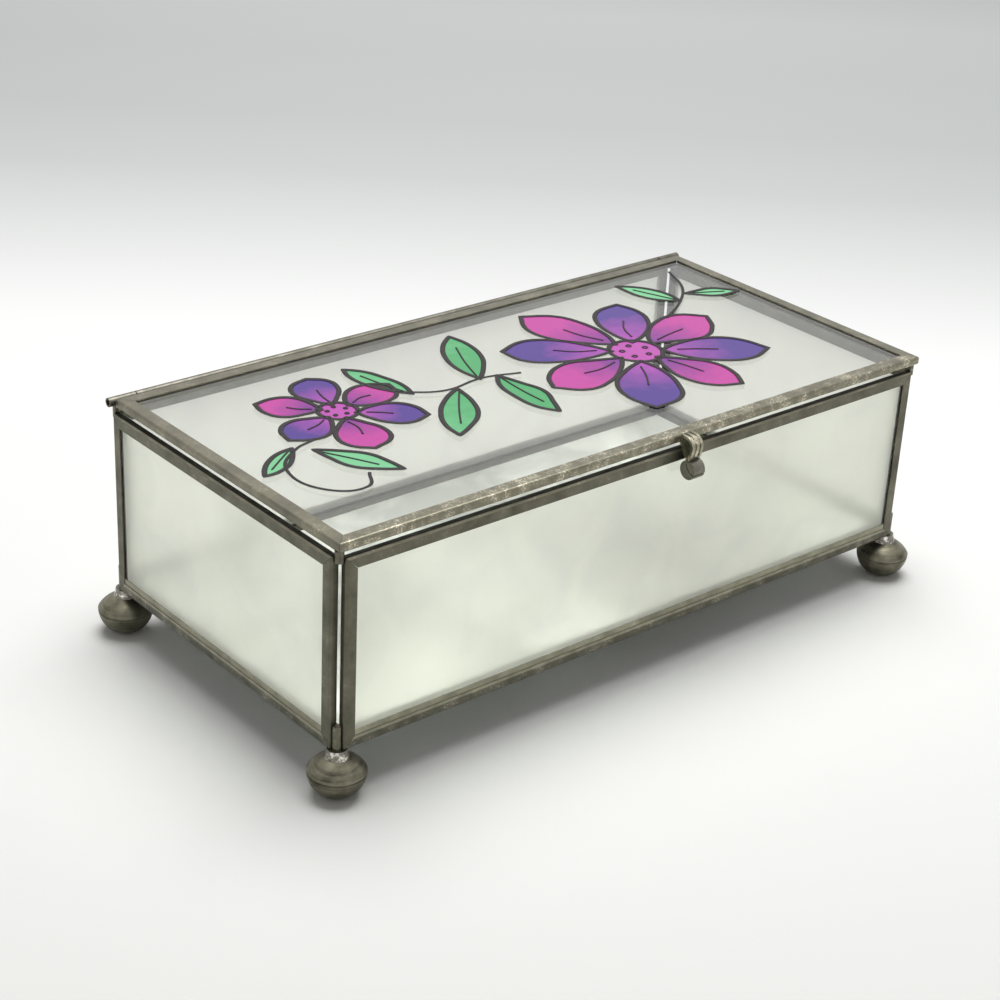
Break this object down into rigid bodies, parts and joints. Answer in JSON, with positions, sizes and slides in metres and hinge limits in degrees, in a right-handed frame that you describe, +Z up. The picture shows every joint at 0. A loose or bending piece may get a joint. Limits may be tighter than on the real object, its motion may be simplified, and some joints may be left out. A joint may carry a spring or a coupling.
{
  "type": "glass casket box",
  "caption": "Rectangular trinket box of framed frosted glass panels with a clear hinged glass lid, a folded lift tab at the front and squashed ball feet.",
  "frame": {"origin": "on the floor, in the middle of the area the box covers", "axes": "+X along the length of the box to its right end seen from the front, +Y from the front wall to the hinge, +Z up"},
  "size_m": [0.2126, 0.1126, 0.0694],
  "materials": {
    "frosted_glass": "float glass, frosted on the inner side",
    "clear_glass": "clear polished float glass",
    "came": "satin pewter-grey metal channel",
    "hinge": "satin grey tube and wire",
    "solder": "bright tin solder",
    "foot": "satin pewter-grey metal",
    "lift_tab": "satin pewter-grey ribbed sheet"
  },
  "bodies": {
    "box": {"front_glass": "frosted_glass", "front_bottom_came": "came", "front_right_came": "came", "front_top_came": "came", "front_left_came": "came", "back_glass": "frosted_glass", "back_bottom_came": "came", "back_left_came": "came", "back_top_came": "came", "back_right_came": "came", "left_glass": "frosted_glass", "left_bottom_came": "came", "left_front_came": "came", "left_top_came": "came", "left_back_came": "came", "right_glass": "frosted_glass", "right_bottom_came": "came", "right_back_came": "came", "right_top_came": "came", "right_front_came": "came", "base_glass": "frosted_glass", "base_front_came": "came", "base_right_came": "came", "base_back_came": "came", "base_left_came": "came", "hinge_pin": "hinge", "hinge_knuckle_left": "hinge", "hinge_knuckle_right": "hinge", "corner_solder_front_left": "solder", "corner_solder_front_right": "solder", "corner_solder_back_left": "solder", "corner_solder_back_right": "solder", "foot_front_left": "foot", "foot_front_right": "foot", "foot_back_left": "foot", "foot_back_right": "foot", "foot_solder_front_left": "solder", "foot_solder_front_right": "solder", "foot_solder_back_left": "solder", "foot_solder_back_right": "solder"},
    "lid": {"lid_glass": "clear_glass", "lid_front_came": "came", "lid_right_came": "came", "lid_back_came": "came", "lid_left_came": "came", "hinge_tube": "hinge", "hinge_seam": "solder", "lift_tab": "lift_tab", "lift_tab_solder": "solder"}
  },
  "joints": [
    {"name": "lid_hinge", "type": "hinge", "parent": "box", "child": "lid", "pos_m": [0, 0.04905, 0.06815], "axis": [-1, 0, 0], "range_deg": [0, 180]}
  ]
}
